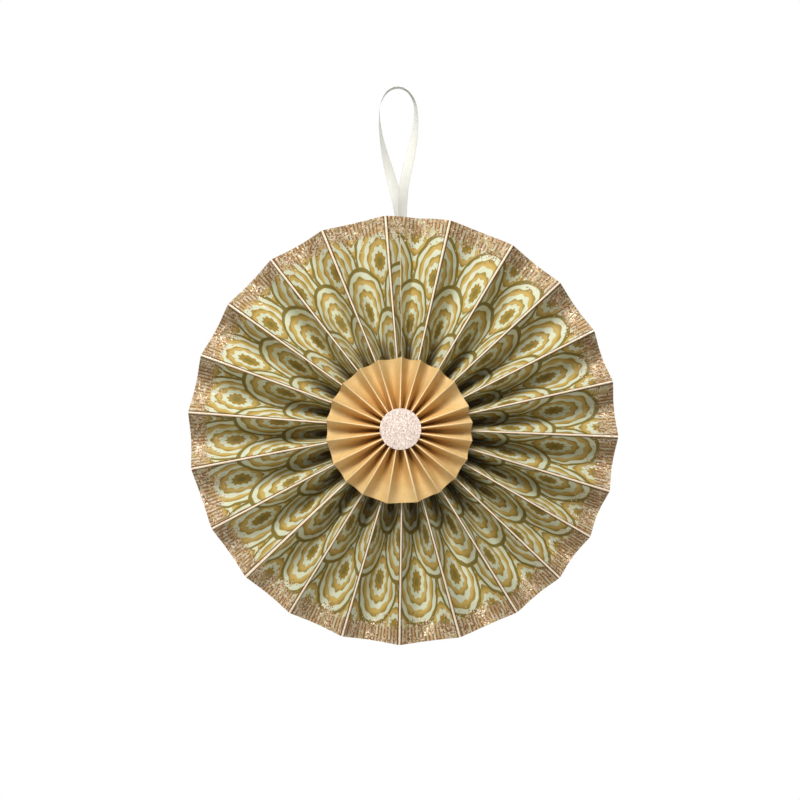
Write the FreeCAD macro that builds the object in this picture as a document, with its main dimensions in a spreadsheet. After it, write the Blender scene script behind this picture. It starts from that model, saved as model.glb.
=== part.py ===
import FreeCAD, Part
import math
import os

import Sketcher

# Paper fan rosette for hanging: a large pleated ring of two printed strips, a small kraft fan
# and a glitter disc glued on its front, card discs at the hub and a ribbon loop at the top.
# The wall is the plane y = 0, the front looks along -Y, +Z is up, and the hub's axis is y.
# Bearings are degrees from +X towards +Z, and a depth is a distance forward of the wall.

# Name, size and meaning of each driving dimension, in millimetres
DIMENSIONS = [
    ("large_ridge_radius", 135.0, "rim of the large fan at a ridge fold"),
    ("large_valley_inset", 0.4, "how far inside the ridges' rim a large valley ends"),
    ("large_hub_radius", 8.0, "inner end of the large fan's ridge folds"),
    ("large_rim_depth", 7.0, "depth that the widest large pleat keeps at the rim"),
    ("large_ridge_fold", 0.5, "width across a ridge fold of the printed paper"),
    ("large_valley_fold", 1.2, "width across a valley fold of the printed paper"),
    ("printed_paper", 0.25, "thickness of the printed paper"),
    ("large_rings", 7.0, "steps along a large pleat outside the glued zone"),
    ("large_flap", 0.10, "share of a large panel that a glued flap covers"),
    ("end_cut", 0.55, "share of its last panel that the long strip covers"),
    ("tuck_reach", 0.12, "share of that panel that the short strip leaves free behind it"),
    ("tuck_bend", 0.85, "share of that panel where the short strip turns behind"),
    ("small_ridge_radius", 45.6, "rim of the small fan at a ridge fold"),
    ("small_valley_inset", 0.8, "how far inside the ridges' rim a small valley ends"),
    ("small_hub_radius", 5.0, "inner end of the small fan's ridge folds"),
    ("small_rim_depth", 3.6, "depth that the widest small pleat keeps at the rim"),
    ("small_ridge_fold", 0.4, "width across a ridge fold of the kraft paper"),
    ("small_valley_fold", 0.45, "width across a valley fold of the kraft paper"),
    ("kraft_paper", 0.2, "thickness of the kraft paper"),
    ("small_rings", 4.0, "steps along a small pleat outside the glued zone"),
    ("small_flap", 0.20, "share of a small panel that a glued flap covers"),
    ("small_offset_x", -2.2, "small fan's centre from the hub's axis"),
    ("small_offset_z", -1.6, "small fan's centre from the hub's axis"),
    ("seam_start", 0.03, "share of a panel that a strip's glued edge stops short of its ridge"),
    ("glue_gap", 0.05, "film of glue between two layers"),
    ("back_disc_diameter", 50.0, "card disc behind the hub"),
    ("back_disc_thickness", 0.8, "card disc behind the hub"),
    ("front_disc_diameter", 50.0, "card disc between the two fans"),
    ("front_disc_thickness", 0.6, "card disc between the two fans"),
    ("glitter_disc_diameter", 25.7, "glitter card disc on the small fan"),
    ("glitter_disc_thickness", 0.5, "glitter card disc on the small fan"),
    ("glitter_offset_x", -1.4, "glitter disc's centre from the hub's axis"),
    ("glitter_offset_z", -0.8, "glitter disc's centre from the hub's axis"),
    ("glue_margin", 1.0, "flat zone of the folds outside a glued disc"),
    ("ribbon_width", 6.4, "satin ribbon"),
    ("ribbon_thickness", 0.2, "satin ribbon"),
    ("ribbon_clearance", 0.4, "ribbon's front tail from the middle of the paper's slack"),
    ("tail_gap", 0.15, "between the ribbon's two tails"),
    ("ring_crowding", 1.5, "how much closer the steps along a pleat stand towards the rim"),
]

# How far each pleat opens at the rim, in degrees, one after another around the fan
SHORT_STRIP_PLEATS = [17.5, 15.8, 16.5, 15.5, 15.7, 15.1, 16.9, 15.5]
LONG_STRIP_PLEATS = [
    15.2, 15.3, 15.4, 16.2, 16.6, 14.5, 13.6, 13.1, 14.7, 14.8, 14.5, 15.8, 16.2, 18.1, 17.5,
]
KRAFT_PLEATS = [
    19.3, 16.9, 16.9, 15.0, 14.4, 13.1, 21.9, 15.6, 16.2, 15.0, 18.8,
    15.6, 17.5, 15.6, 16.3, 16.2, 18.8, 16.9, 16.2, 20.6, 23.6,
]
TOP_SEAM_BEARING = 94.7
KRAFT_SEAM_BEARING = 283.8

# Ribbon's route as (sideways, above the rim): up the left leg, over the top, down the right one
RIBBON_ROUTE = [
    (-1.6, -19.0), (-1.8, -9.0), (-2.6, 4.0), (-5.6, 18.0), (-9.9, 33.0), (-13.3, 47.5),
    (-15.1, 62.0), (-14.6, 74.0), (-8.2, 82.7), (1.4, 82.9), (7.9, 74.6), (8.8, 63.2),
    (7.3, 50.5), (4.3, 36.5), (0.9, 22.5), (-0.3, 8.0), (-0.4, -7.0), (-1.0, -19.0),
]
RIBBON_TAIL_POINTS = 2
RIBBON_TWIST_FROM = 8.0
RIBBON_TWIST_TO = 83.0
RUN_SHARE_OF_AN_ARC = 0.45

doc = FreeCAD.newDocument("paper_fan_rosette")


def make_sheet():
    """The driving dimensions in a sheet, one aliased cell each."""
    cells = doc.addObject("Spreadsheet::Sheet", "sizes")
    for row, (name, size, meaning) in enumerate(DIMENSIONS, start=1):
        cells.set(f"A{row}", name)
        cells.set(f"B{row}", str(size))
        cells.setAlias(f"B{row}", name)
        cells.set(f"C{row}", meaning)
    doc.recompute()
    return cells


sheet = make_sheet()


def size(name):
    return float(sheet.get(name))


def sheet_solid(front, back):
    """A closed solid between two grids of points, each a list of rows, that face each other."""
    rows = len(front)
    columns = len(front[0])
    corners = []

    def quad(a, b, c, d):
        corners.append((a, b, c))
        corners.append((a, c, d))

    for i in range(rows - 1):
        for j in range(columns - 1):
            # the diagonal turns with the slope, so that the two sides of a fold mirror each other
            turn = int(front[0][j + 1].y < front[0][j].y)
            for grid in (front, back):
                square = [grid[i][j], grid[i][j + 1], grid[i + 1][j + 1], grid[i + 1][j]]
                quad(*(square[turn:] + square[:turn]))
        for j in (0, columns - 1):
            quad(front[i][j], front[i + 1][j], back[i + 1][j], back[i][j])
    for i in (0, rows - 1):
        for j in range(columns - 1):
            quad(front[i][j], front[i][j + 1], back[i][j + 1], back[i][j])
    faces = [Part.Face(Part.makePolygon([a, b, c, a])) for a, b, c in corners]
    shell = Part.makeShell(faces)
    shell.sewShape()
    solid = Part.makeSolid(shell)
    if solid.Volume < 0:
        solid.reverse()
    return solid


class Fan:
    """A strip folded into ridges and valleys and drawn into a ring.

    Fold 0 is the ridge at the seam, and folds are counted around the ring: even folds are
    ridges and odd ones valleys. A section of the ring at one radius is drawn flat, as points
    (distance along the circle, depth, share of the way from a ridge to a valley).
    """

    def __init__(self, prefix, paper, pleats, seam_bearing, glued_radius):
        self.pleats = pleats
        self.paper = size(paper)
        self.seam_bearing = seam_bearing
        self.ridge_radius = size(prefix + "_ridge_radius")
        self.valley_inset = size(prefix + "_valley_inset")
        self.ridge_fold = size(prefix + "_ridge_fold")
        self.valley_fold = size(prefix + "_valley_fold")
        self.flap = size(prefix + "_flap")
        self.steps = int(round(size(prefix + "_rings")))
        self.hub_radius = size(prefix + "_hub_radius")
        self.glued_radius = glued_radius
        widest_panel = math.radians(max(pleats)) / 2
        rim_spread = self.spread(widest_panel, self.ridge_radius)
        self.panel = math.hypot(rim_spread, size(prefix + "_rim_depth"))
        mean_panel = math.pi / len(pleats)
        self.hub_rise = self.rise_of(mean_panel, glued_radius)
        self.total_depth = self.hub_rise + self.paper

    def folds(self):
        return 2 * len(self.pleats)

    def bearing(self, fold):
        """Bearing of a fold in radians, with each valley halfway between its two ridges."""
        turns, place = divmod(fold, self.folds())
        pleat, half = divmod(place, 2)
        degrees = sum(self.pleats[:pleat]) + half * self.pleats[pleat] / 2
        round_again = sum(self.pleats) * turns
        return math.radians(self.seam_bearing + round_again + degrees)

    def spread(self, angle, radius):
        """Distance along the circle that a panel covers between its two folds."""
        chord = 2 * radius * math.sin(angle / 2)
        return chord - (self.ridge_fold + self.valley_fold) / 2

    def rise_of(self, angle, radius):
        return math.sqrt(self.panel**2 - self.spread(angle, radius) ** 2)

    def rise(self, fold, radius):
        """Depth between a fold and the next, so that the panel keeps its true width."""
        if radius <= self.glued_radius:
            return self.hub_rise
        return self.rise_of(self.bearing(fold + 1) - self.bearing(fold), radius)

    def fold_depth(self, fold, radius):
        middle = self.total_depth / 2
        reach = (self.rise(fold - 1, radius) + self.rise(fold, radius)) / 4
        return middle + reach if fold % 2 == 0 else middle - reach

    def corner(self, fold, side, radius):
        """One edge of a fold's blunt tip: side is -1 before the fold and 1 after it."""
        width = self.ridge_fold if fold % 2 == 0 else self.valley_fold
        along = radius * self.bearing(fold) + side * width / 2
        return along, self.fold_depth(fold, radius), float(fold % 2)

    def on_panel(self, fold, share, lift, radius):
        """A point on the panel after a fold, raised by lift towards the front."""
        a = self.corner(fold, 1, radius)
        b = self.corner(fold + 1, -1, radius)
        along, depth, lean = (p + share * (q - p) for p, q in zip(a, b))
        normal = self.front_normal(fold, radius)
        return along + lift * normal[0], depth + lift * normal[1], lean

    def front_normal(self, fold, radius):
        a = self.corner(fold, 1, radius)
        b = self.corner(fold + 1, -1, radius)
        length = math.hypot(b[0] - a[0], b[1] - a[1])
        return -(b[1] - a[1]) / length, (b[0] - a[0]) / length

    def wrapped_corner(self, fold, lift, radius):
        """The far edge of a ridge that folds over the start of the panel after it."""
        along, depth, lean = self.corner(fold, 1, radius)
        return along + lift / self.front_normal(fold, radius)[0], depth, lean

    def radii(self):
        crowding = size("ring_crowding")
        free = self.ridge_radius - self.glued_radius
        left = [(1 - k / self.steps) ** crowding for k in range(self.steps + 1)]
        return [self.hub_radius] + [self.ridge_radius - free * share for share in left]

    def in_space(self, point, radius):
        along, depth, lean = point
        angle = along / radius
        true_radius = radius - lean * self.valley_inset
        return FreeCAD.Vector(
            true_radius * math.cos(angle), -depth, true_radius * math.sin(angle)
        )

    def solid(self, section):
        """The folded sheet whose middle line at each radius is section(radius)."""
        front = []
        back = []
        for radius in self.radii():
            line = section(radius)
            for grid, shift in ((front, self.paper / 2), (back, -self.paper / 2)):
                grid.append([self.in_space(p, radius) for p in offset(line, shift)])
        return sheet_solid(front, back)


def offset(line, shift):
    """The line moved sideways by shift, mitred at its corners."""
    normals = []
    for a, b in zip(line, line[1:]):
        length = math.hypot(b[0] - a[0], b[1] - a[1])
        normals.append((-(b[1] - a[1]) / length, (b[0] - a[0]) / length))
    moved = []
    for k, (along, depth, lean) in enumerate(line):
        before = normals[max(k - 1, 0)]
        after = normals[min(k, len(normals) - 1)]
        mitre = shift / (1 + before[0] * after[0] + before[1] * after[1])
        moved.append(
            (
                along + mitre * (before[0] + after[0]),
                depth + mitre * (before[1] + after[1]),
                lean,
            )
        )
    return moved


def tips(fan, first, last, radius):
    """Both edges of every fold from first to last."""
    return [fan.corner(fold, side, radius) for fold in range(first, last + 1) for side in (-1, 1)]


def under_the_flap(fan, ridge, radius):
    """The start of a strip that goes under the flap at a ridge."""
    return [fan.on_panel(ridge, share, 0, radius) for share in (size("seam_start"), fan.flap)]


def flap(fan, ridge, radius):
    """The end of a strip that wraps over a ridge and is glued on the panel after it."""
    lift = fan.paper + size("glue_gap")
    return [
        fan.corner(ridge, -1, radius),
        fan.wrapped_corner(ridge, lift, radius),
        fan.on_panel(ridge, fan.flap, lift, radius),
    ]


hub_discs_radius = max(size("back_disc_diameter"), size("front_disc_diameter")) / 2
large_fan = Fan(
    "large",
    "printed_paper",
    SHORT_STRIP_PLEATS + LONG_STRIP_PLEATS,
    TOP_SEAM_BEARING,
    hub_discs_radius + size("glue_margin"),
)
kraft_reach = math.hypot(
    size("small_offset_x") - size("glitter_offset_x"),
    size("small_offset_z") - size("glitter_offset_z"),
)
small_fan = Fan(
    "small",
    "kraft_paper",
    KRAFT_PLEATS,
    KRAFT_SEAM_BEARING,
    size("glitter_disc_diameter") / 2 + kraft_reach + size("glue_margin"),
)

# Depths of the stack at the hub, from the wall to the front
large_back = size("back_disc_thickness")
front_disc_back = large_back + large_fan.total_depth
small_back = front_disc_back + size("front_disc_thickness")
glitter_back = small_back + small_fan.total_depth

LAST_SHORT_RIDGE = 2 * len(SHORT_STRIP_PLEATS)
LAST_VALLEY = large_fan.folds() - 1


def short_strip_section(radius):
    """Tucked behind the long strip at the top seam, and wrapped over the ridge at the other."""
    lift = -(large_fan.paper + size("glue_gap"))
    shares = (size("tuck_reach"), size("end_cut"), size("tuck_bend"))
    tuck = [large_fan.on_panel(-1, share, lift, radius) for share in shares]
    folds = tips(large_fan, 0, LAST_SHORT_RIDGE - 1, radius)
    return tuck + folds + flap(large_fan, LAST_SHORT_RIDGE, radius)


def long_strip_section(radius):
    """Starts under the short strip's flap, and ends cut off in front of its tuck."""
    folds = tips(large_fan, LAST_SHORT_RIDGE + 1, LAST_VALLEY, radius)
    shares = (size("tuck_reach"), size("end_cut"))
    end = [large_fan.on_panel(LAST_VALLEY, share, 0, radius) for share in shares]
    return under_the_flap(large_fan, LAST_SHORT_RIDGE, radius) + folds + end


def kraft_section(radius):
    """One strip whose last ridge wraps over its own start."""
    last_ridge = small_fan.folds()
    folds = tips(small_fan, 1, last_ridge - 1, radius)
    return under_the_flap(small_fan, 0, radius) + folds + flap(small_fan, last_ridge, radius)


def add_feature(name, shape, place):
    piece = doc.addObject("Part::Feature", name)
    piece.Label = name
    piece.Shape = shape
    piece.Placement = FreeCAD.Placement(place, FreeCAD.Rotation())
    return piece


def add_disc(name, diameter, thickness, place):
    """A round disc of card, whose back is at its own origin and whose front looks along -Y."""
    body = doc.addObject("PartDesign::Body", name)
    body.Label = name
    planes = [p for p in body.Origin.OriginFeatures if p.Role == "XZ_Plane"]
    outline = body.newObject("Sketcher::SketchObject", name + "_outline")
    outline.AttachmentSupport = (planes[0], [""])
    outline.MapMode = "FlatFace"
    circle = Part.Circle(FreeCAD.Vector(), FreeCAD.Vector(0, 0, 1), size(diameter) / 2)
    outline.addGeometry(circle, False)
    outline.addConstraint(Sketcher.Constraint("Coincident", 0, 3, -1, 1))
    outline.addConstraint(Sketcher.Constraint("Diameter", 0, size(diameter)))
    outline.setExpression("Constraints[1]", "sizes." + diameter)
    card = body.newObject("PartDesign::Pad", name + "_card")
    card.Profile = outline
    card.setExpression("Length", "sizes." + thickness)
    body.Placement = FreeCAD.Placement(place, FreeCAD.Rotation())
    return body


def behind_the_top_panel(x, z, layer):
    """Depth of the ribbon's middle where it is glued behind the short strip's first panel."""
    radius = math.hypot(x, z)
    fold = LAST_VALLEY
    start = large_fan.corner(fold, 1, radius)
    end = large_fan.corner(fold + 1, -1, radius)
    along = radius * math.atan2(z, x) + radius * 2 * math.pi
    share = (along - start[0]) / (end[0] - start[0])
    normal = large_fan.front_normal(fold, radius)
    paper_back = 1.5 * large_fan.paper + size("glue_gap")
    ribbon_step = size("ribbon_thickness") + size("tail_gap")
    drop = paper_back + size("ribbon_clearance") + size("ribbon_thickness") / 2
    drop = drop + layer * ribbon_step
    depth = start[1] + share * (end[1] - start[1]) - drop / normal[1]
    return large_back + depth


def ribbon_points():
    """The route in space: the right leg lies on the paper, and the left one behind it."""
    rim = large_fan.ridge_radius
    points = []
    last = len(RIBBON_ROUTE) - 1
    middle = last / 2
    for k, (x, above) in enumerate(RIBBON_ROUTE):
        z = rim + above
        layer = 1 if k < middle else 0
        in_tail = k < RIBBON_TAIL_POINTS or k > last - RIBBON_TAIL_POINTS
        tail = RIBBON_ROUTE[RIBBON_TAIL_POINTS - 1] if layer else RIBBON_ROUTE[-RIBBON_TAIL_POINTS]
        at = (x, z) if in_tail else (tail[0], rim)
        points.append(FreeCAD.Vector(x, -behind_the_top_panel(at[0], at[1], layer), z))
    return points


def runs_and_arcs(points):
    """Places and directions along straight runs joined by tangent arcs."""
    directions = [(b - a).normalize() for a, b in zip(points, points[1:])]
    stations = [(points[0], directions[0])]
    for k in range(1, len(points) - 1):
        before = directions[k - 1]
        after = directions[k]
        shorter = min((points[k] - points[k - 1]).Length, (points[k + 1] - points[k]).Length)
        reach = RUN_SHARE_OF_AN_ARC * shorter
        half_turn = before.getAngle(after) / 2
        radius = reach / math.tan(half_turn)
        inward = (after - before).normalize()
        sag = radius / math.cos(half_turn) - radius
        stations.append((points[k] - before * reach, before))
        stations.append((points[k] + inward * sag, (before + after).normalize()))
        stations.append((points[k] + after * reach, after))
        print(f"ribbon turn {k}: {math.degrees(2 * half_turn):.0f} degrees, radius {radius:.1f} mm")
    stations.append((points[-1], directions[-1]))
    return stations


def across_the_ribbon(place, direction):
    """The ribbon's width turns from the paper's slant at the rim to edge-on at the top."""
    rim = large_fan.ridge_radius
    radius = min(math.hypot(place.x, place.z), rim)
    normal = large_fan.front_normal(LAST_VALLEY, radius)
    at_the_paper = math.atan2(normal[0], normal[1])
    share = (place.z - rim - RIBBON_TWIST_FROM) / (RIBBON_TWIST_TO - RIBBON_TWIST_FROM)
    share = min(max(share, 0.0), 1.0)
    edge_on = -math.copysign(math.pi / 2, at_the_paper)
    turn = at_the_paper + share * (edge_on - at_the_paper)
    across = FreeCAD.Vector(math.cos(turn), -math.sin(turn), 0)
    return (across - direction * across.dot(direction)).normalize()


def ribbon_solid():
    """The flat band along the route, turning from the paper's slant to edge-on."""
    front = []
    back = []
    length = 0
    stations = runs_and_arcs(ribbon_points())
    for place, direction in stations:
        across = across_the_ribbon(place, direction)
        half = across * (size("ribbon_width") / 2)
        lift = direction.cross(across) * (size("ribbon_thickness") / 2)
        front.append([place - half + lift, place + half + lift])
        back.append([place - half - lift, place + half - lift])
    for (a, _), (b, _) in zip(stations, stations[1:]):
        length += (b - a).Length
    print(f"ribbon length {length:.1f} mm")
    return sheet_solid(front, back)


strips_place = FreeCAD.Vector(0, -large_back, 0)
kraft_place = FreeCAD.Vector(size("small_offset_x"), -small_back, size("small_offset_z"))
glitter_place = FreeCAD.Vector(size("glitter_offset_x"), -glitter_back, size("glitter_offset_z"))

pieces = [
    add_feature("long_printed_strip", large_fan.solid(long_strip_section), strips_place),
    add_feature("short_printed_strip", large_fan.solid(short_strip_section), strips_place),
    add_feature("kraft_fan", small_fan.solid(kraft_section), kraft_place),
    add_feature("hanging_ribbon", ribbon_solid(), FreeCAD.Vector()),
    add_disc("back_disc", "back_disc_diameter", "back_disc_thickness", FreeCAD.Vector()),
    add_disc(
        "front_disc",
        "front_disc_diameter",
        "front_disc_thickness",
        FreeCAD.Vector(0, -front_disc_back, 0),
    ),
    add_disc("glitter_disc", "glitter_disc_diameter", "glitter_disc_thickness", glitter_place),
]

doc.recompute()
for item in doc.Objects:
    if "Invalid" in item.State or "Error" in item.State:
        raise RuntimeError(f"{item.Name} failed: {item.State}")
for piece in pieces:
    if piece.Shape.isNull() or not piece.Shape.isValid():
        raise RuntimeError(f"{piece.Label} has no valid shape")
for piece in pieces:
    piece.Shape.exportStep(f"parts/{piece.Label}.step")
    box = piece.Shape.BoundBox
    print(
        f"{piece.Label}: {len(piece.Shape.Solids)} solid, {piece.Shape.Volume:.1f} mm3, "
        f"x {box.XMin:.1f} {box.XMax:.1f}, y {box.YMin:.1f} {box.YMax:.1f}, "
        f"z {box.ZMin:.1f} {box.ZMax:.1f}"
    )
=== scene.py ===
# %% [markdown]
# # A paper fan rosette
#
# This lesson dresses a hanging rosette: a large ring of pleated printed paper, a small kraft fan
# and a glitter disc on its front, and a satin ribbon loop at the top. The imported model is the
# frame. It says where each piece is, and nothing here moves it. Every length is in metres, the
# wall is the plane y = 0, the front looks along -Y and +Z is up.

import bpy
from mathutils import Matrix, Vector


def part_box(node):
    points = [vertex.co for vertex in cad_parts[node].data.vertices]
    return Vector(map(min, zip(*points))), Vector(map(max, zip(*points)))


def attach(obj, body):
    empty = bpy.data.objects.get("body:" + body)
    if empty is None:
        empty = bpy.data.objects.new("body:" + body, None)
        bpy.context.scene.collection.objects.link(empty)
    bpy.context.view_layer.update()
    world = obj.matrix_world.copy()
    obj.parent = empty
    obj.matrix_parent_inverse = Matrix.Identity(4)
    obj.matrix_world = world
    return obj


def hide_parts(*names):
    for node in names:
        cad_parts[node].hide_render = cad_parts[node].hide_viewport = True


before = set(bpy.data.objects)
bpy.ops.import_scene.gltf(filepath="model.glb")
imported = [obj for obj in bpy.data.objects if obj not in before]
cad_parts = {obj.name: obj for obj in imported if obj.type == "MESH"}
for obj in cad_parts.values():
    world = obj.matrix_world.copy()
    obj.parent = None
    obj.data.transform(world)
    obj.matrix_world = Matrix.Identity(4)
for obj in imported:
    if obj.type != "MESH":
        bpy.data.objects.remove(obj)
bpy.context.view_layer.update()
print("nodes:", sorted(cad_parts))

# %% Modules and units
import math

import bpy
from mathutils import Vector

MM = 0.001


# %% [markdown]
# ## The camera
#
# A product picture of a flat thing is taken from far away with a long lens, so that the ring
# stays round. The camera stands one metre from the hub, a little below it, and its lens is
# worked out from how wide a piece of the wall the picture shows.

# %% The camera
PICTURE_WIDTH = 505.5 * MM
CAMERA_DISTANCE = 1.0
CAMERA_AZIMUTH = math.radians(0.2)
CAMERA_ELEVATION = math.radians(-2.6)
PICTURE_CENTRE = Vector((-1.8, -11.0, 18.2)) * MM
SENSOR_WIDTH = 36.0


def add_camera():
    bpy.ops.object.select_all(action="DESELECT")
    away = Vector(
        (
            math.sin(CAMERA_AZIMUTH) * math.cos(CAMERA_ELEVATION),
            -math.cos(CAMERA_AZIMUTH) * math.cos(CAMERA_ELEVATION),
            math.sin(CAMERA_ELEVATION),
        )
    )
    bpy.ops.object.camera_add(location=PICTURE_CENTRE + away * CAMERA_DISTANCE)
    camera = bpy.context.object
    camera.rotation_euler = (-away).to_track_quat("-Z", "Y").to_euler()
    camera.data.sensor_width = SENSOR_WIDTH
    camera.data.lens = SENSOR_WIDTH * CAMERA_DISTANCE / PICTURE_WIDTH
    bpy.context.scene.camera = camera
    return camera


camera = add_camera()
print("lens in millimetres:", round(camera.data.lens, 1))

# %% [markdown]
# ## Light and background
#
# The light is soft and comes from the upper left, so the valleys at the lower right are the
# darkest. A large area lamp gives it, near enough for the top to be a little brighter than the
# bottom, and the world fills in from all round. A second lamp lights the back, for whoever walks
# round it. The white behind the rosette is only what the camera and the reflections see: the
# world lights the paper with less than that.

# %% The world
WORLD_LIGHT = 0.18
WHITE = (1.0, 1.0, 1.0, 1.0)


def seen_directly(tree):
    """1 for a ray from the camera, a reflection or a see-through surface, and 0 for light."""
    path = tree.nodes.new("ShaderNodeLightPath")
    seen = path.outputs["Is Camera Ray"]
    for name in ("Is Glossy Ray", "Is Transmission Ray"):
        both = tree.nodes.new("ShaderNodeMath")
        both.operation = "MAXIMUM"
        tree.links.new(seen, both.inputs[0])
        tree.links.new(path.outputs[name], both.inputs[1])
        seen = both.outputs[0]
    return seen


def add_world():
    world = bpy.data.worlds.new("studio")
    world.use_nodes = True
    bpy.context.scene.world = world
    tree = world.node_tree
    background = tree.nodes["Background"]
    background.inputs["Color"].default_value = WHITE
    strength = tree.nodes.new("ShaderNodeMapRange")
    strength.inputs["To Min"].default_value = WORLD_LIGHT
    strength.inputs["To Max"].default_value = 1.0
    tree.links.new(seen_directly(tree), strength.inputs["Value"])
    tree.links.new(strength.outputs["Result"], background.inputs["Strength"])


add_world()
bpy.context.scene.view_settings.view_transform = "Standard"
print("world:", bpy.context.scene.world.name)

# %% The lamps
HUB_FRONT = Vector((0.0, -20.0, 0.0)) * MM


def add_lamp(name, place, across, watts):
    bpy.ops.object.select_all(action="DESELECT")
    bpy.ops.object.light_add(type="AREA", location=place)
    lamp = bpy.context.object
    lamp.name = name
    lamp.rotation_euler = (HUB_FRONT - Vector(place)).to_track_quat("-Z", "Y").to_euler()
    lamp.data.size = across
    lamp.data.energy = watts


add_lamp("window", place=(-0.24, -0.72, 0.71), across=0.5, watts=14.1)
add_lamp("back_window", place=(0.7, 1.5, 0.9), across=0.8, watts=30.0)

# %% [markdown]
# ## The floor
#
# The rosette hangs, so the floor is a round stage well below it that only other views meet. For
# the camera it is nearly all glow, so that it stays pale, and the rest is plain matt paint,
# which keeps a faint shadow.

# %% The floor
FLOOR_BELOW = 0.34
FLOOR_RADIUS = 0.45
FLOOR_SIDES = 96
FLOOR_GLOW = 0.85
FLOOR_PAINT = (0.9, 0.9, 0.9, 1.0)


def add_floor():
    bpy.ops.object.select_all(action="DESELECT")
    bpy.ops.mesh.primitive_circle_add(
        vertices=FLOOR_SIDES, radius=FLOOR_RADIUS, fill_type="NGON", location=(0, 0, -FLOOR_BELOW)
    )
    floor = bpy.context.object
    floor.name = "floor"
    paint = bpy.data.materials.new("floor_paint")
    paint.use_nodes = True
    tree = paint.node_tree
    matt = tree.nodes["Principled BSDF"]
    matt.inputs["Base Color"].default_value = FLOOR_PAINT
    matt.inputs["Roughness"].default_value = 1.0
    glow = tree.nodes.new("ShaderNodeEmission")
    share = tree.nodes.new("ShaderNodeMath")
    share.operation = "MULTIPLY"
    share.inputs[1].default_value = FLOOR_GLOW
    tree.links.new(seen_directly(tree), share.inputs[0])
    both = tree.nodes.new("ShaderNodeMixShader")
    tree.links.new(share.outputs[0], both.inputs["Fac"])
    tree.links.new(matt.outputs["BSDF"], both.inputs[1])
    tree.links.new(glow.outputs["Emission"], both.inputs[2])
    tree.links.new(both.outputs["Shader"], tree.nodes["Material Output"].inputs["Surface"])
    floor.data.materials.append(paint)
    return floor


floor = add_floor()
print("floor at z =", floor.location.z)

# %% [markdown]
# ## How a strip becomes a fan
#
# The real maker scores a long strip about every two centimetres, folds it to and fro and draws
# one edge together. Paper doesn't stretch, so a panel keeps its width wherever it is: at the rim it
# lies nearly flat, and at the hub it stands on edge. That rule gives the depth of every fold
# from how far its pleat opens, and the pleats of a handmade fan open unevenly.

# %% What both fans know about themselves
FULL_TURN = 2 * math.pi
GLUE = 0.05 * MM


class Fan:
    """Folds counted round the ring from the seam: even ones are ridges, odd ones valleys."""

    def __init__(
        self, pleats, seam, centre, back, rim, hub, glued, folds, rim_depth, paper, soft, stiff_seam
    ):
        self.pleats = pleats
        self.seam = seam
        self.centre = centre
        self.back = back
        self.rim, self.valley_inset = rim
        self.hub = hub
        self.glued = glued
        self.fold_widths = folds
        self.paper = paper
        self.soft = soft
        self.stiff_seam = stiff_seam
        self.panel = math.hypot(self.spread(math.radians(max(pleats)) / 2, self.rim), rim_depth)
        self.pitch = self.panel + sum(folds) / 2
        self.hub_rise = self.rise_of(math.pi / len(pleats), glued)
        self.depth = self.hub_rise + paper

    def bearing(self, fold):
        turns, place = divmod(fold, 2 * len(self.pleats))
        pleat, half = divmod(place, 2)
        degrees = self.seam + turns * sum(self.pleats) + sum(self.pleats[:pleat])
        return math.radians(degrees + half * self.pleats[pleat] / 2)

    def spread(self, angle, radius):
        return 2 * radius * math.sin(angle / 2) - sum(self.fold_widths) / 2

    def rise_of(self, angle, radius):
        return math.sqrt(self.panel**2 - self.spread(angle, radius) ** 2)

    def rise(self, fold, radius):
        if radius <= self.glued:
            return self.hub_rise
        return self.rise_of(self.bearing(fold + 1) - self.bearing(fold), radius)

    def fold_depth(self, fold, radius):
        reach = (self.rise(fold - 1, radius) + self.rise(fold, radius)) / 4
        return self.depth / 2 + (reach if fold % 2 == 0 else -reach)


print("glue film in millimetres:", GLUE / MM)

# %% [markdown]
# A ridge is creased from the front, so it is a crisp and narrow tip. A valley is only pressed,
# so the paper runs into it in a curve, which gets longer towards the rim. The curve is straight
# from the ridge and then a parabola. Its depth is found by trying, so that the paper measured
# along it keeps its true width. The last pleat is glued double and carries the ribbon, so it is
# stiff and stays straight. A panel also bows a little, each in its own way.

# %% The curve from a valley up to a ridge
RIDGE_ROUND = 0.22
BOW = 0.010
BOW_STEP, BOW_START = 2.4, 0.7
TRIES = 24


def soft_share(fan, fold, radius):
    """The share of a panel that curves into its valley."""
    stiff = fan.stiff_seam and fold // 2 % len(fan.pleats) == len(fan.pleats) - 1
    if stiff or radius <= fan.glued:
        return fan.soft[0]
    out = (radius - fan.glued) / (fan.rim - fan.glued)
    return fan.soft[0] + (fan.soft[1] - fan.soft[0]) * math.sin(out * math.pi / 2)


def climb(soft, share):
    """How high the curve is, from 0 to 1, and its slope, at a share of the way up."""
    steep = 1 / (1 - soft / 2)
    if share < soft:
        return steep * share**2 / (2 * soft), steep * share / soft
    return 1 - steep * (1 - share), steep


def curve_length(spread, soft, slope):
    straight = (1 - soft / 2) * math.hypot(1, slope)
    return spread * (straight + soft * math.asinh(slope) / (2 * slope))


def drop(fan, fold, radius):
    """Depth from the ridges to the bottom of a pleat whose curved panels have their true width."""
    angle = fan.bearing(fold + 1) - fan.bearing(fold)
    spread = fan.spread(angle, max(radius, fan.glued))
    soft = soft_share(fan, fold, radius)
    low, high = 0.01, fan.panel / spread * 2
    for _ in range(TRIES):
        middle = (low + high) / 2
        if curve_length(spread, soft, middle) < fan.panel:
            low = middle
        else:
            high = middle
    return low * spread * (1 - soft / 2)


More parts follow.
